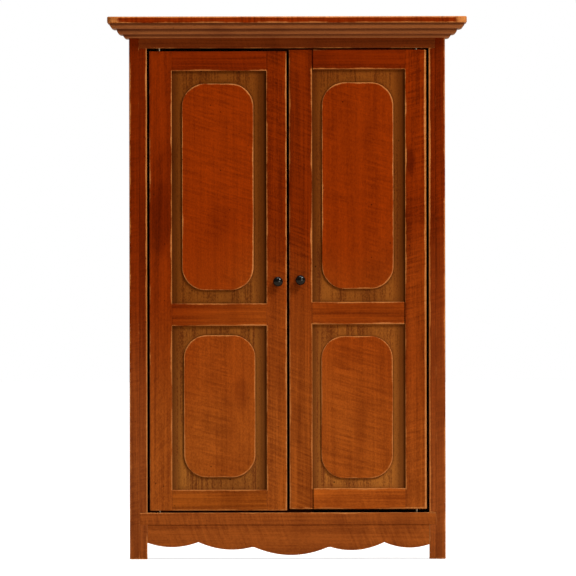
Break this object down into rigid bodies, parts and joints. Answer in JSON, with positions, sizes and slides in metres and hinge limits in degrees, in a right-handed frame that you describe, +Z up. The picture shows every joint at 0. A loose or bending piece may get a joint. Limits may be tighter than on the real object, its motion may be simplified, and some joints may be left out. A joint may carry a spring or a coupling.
{
  "type": "miniature wardrobe",
  "caption": "Dolls' house wardrobe in stained wood: two pin-hung doors with raised round-cornered fields, stepped cornice, scalloped apron, shelf and hanging rail inside.",
  "frame": {"origin": "on the floor, under the middle of the bounding box", "axes": "+X to the right as one faces the doors, +Y to the back, +Z up; the doors face -Y"},
  "size_m": [0.1156, 0.053, 0.1745],
  "materials": {
    "stained_wood": "satin red-brown stain, worn along the edges",
    "raised_field_wood": "satin orange-brown stain",
    "panel_wood": "satin dark brown stain",
    "inner_wood": "matt thin stain",
    "steel_wire": "plain drawn wire",
    "black_enamel": "gloss black enamel"
  },
  "bodies": {
    "carcass": {"side_left": "stained_wood", "side_right": "stained_wood", "front_strip_left": "stained_wood", "front_strip_right": "stained_wood", "leg_strip_left": "stained_wood", "leg_strip_right": "stained_wood", "frieze_rail": "stained_wood", "bottom_rail": "stained_wood", "apron": "stained_wood", "floor_board": "inner_wood", "back_board": "inner_wood", "back_board_nails": "steel_wire", "top_slab": "stained_wood", "cornice_front": "stained_wood", "cornice_left": "stained_wood", "cornice_right": "stained_wood", "shelf": "inner_wood", "shelf_cleat_left": "inner_wood", "shelf_cleat_right": "inner_wood", "hanging_rail": "inner_wood", "door_stop_upper": "inner_wood", "door_stop_lower": "inner_wood", "left_upper_hinge_pin": "steel_wire", "left_lower_hinge_pin": "steel_wire", "right_upper_hinge_pin": "steel_wire", "right_lower_hinge_pin": "steel_wire"},
    "left_door": {"left_door_hinge_stile": "stained_wood", "left_door_meeting_stile": "stained_wood", "left_door_top_rail": "stained_wood", "left_door_middle_rail": "stained_wood", "left_door_bottom_rail": "stained_wood", "left_door_upper_panel": "panel_wood", "left_door_lower_panel": "panel_wood", "left_door_upper_field": "raised_field_wood", "left_door_lower_field": "raised_field_wood", "left_knob": "black_enamel"},
    "right_door": {"right_door_hinge_stile": "stained_wood", "right_door_meeting_stile": "stained_wood", "right_door_top_rail": "stained_wood", "right_door_middle_rail": "stained_wood", "right_door_bottom_rail": "stained_wood", "right_door_upper_panel": "panel_wood", "right_door_lower_panel": "panel_wood", "right_door_upper_field": "raised_field_wood", "right_door_lower_field": "raised_field_wood", "right_knob": "black_enamel"}
  },
  "joints": [
    {"name": "left_door_hinge", "type": "hinge", "parent": "carcass", "child": "left_door", "pos_m": [-0.0411, -0.0179, 0.09], "axis": [0, 0, -1], "range_deg": [0, 130]},
    {"name": "right_door_hinge", "type": "hinge", "parent": "carcass", "child": "right_door", "pos_m": [0.0415, -0.0179, 0.09], "axis": [0, 0, 1], "range_deg": [0, 130]}
  ]
}
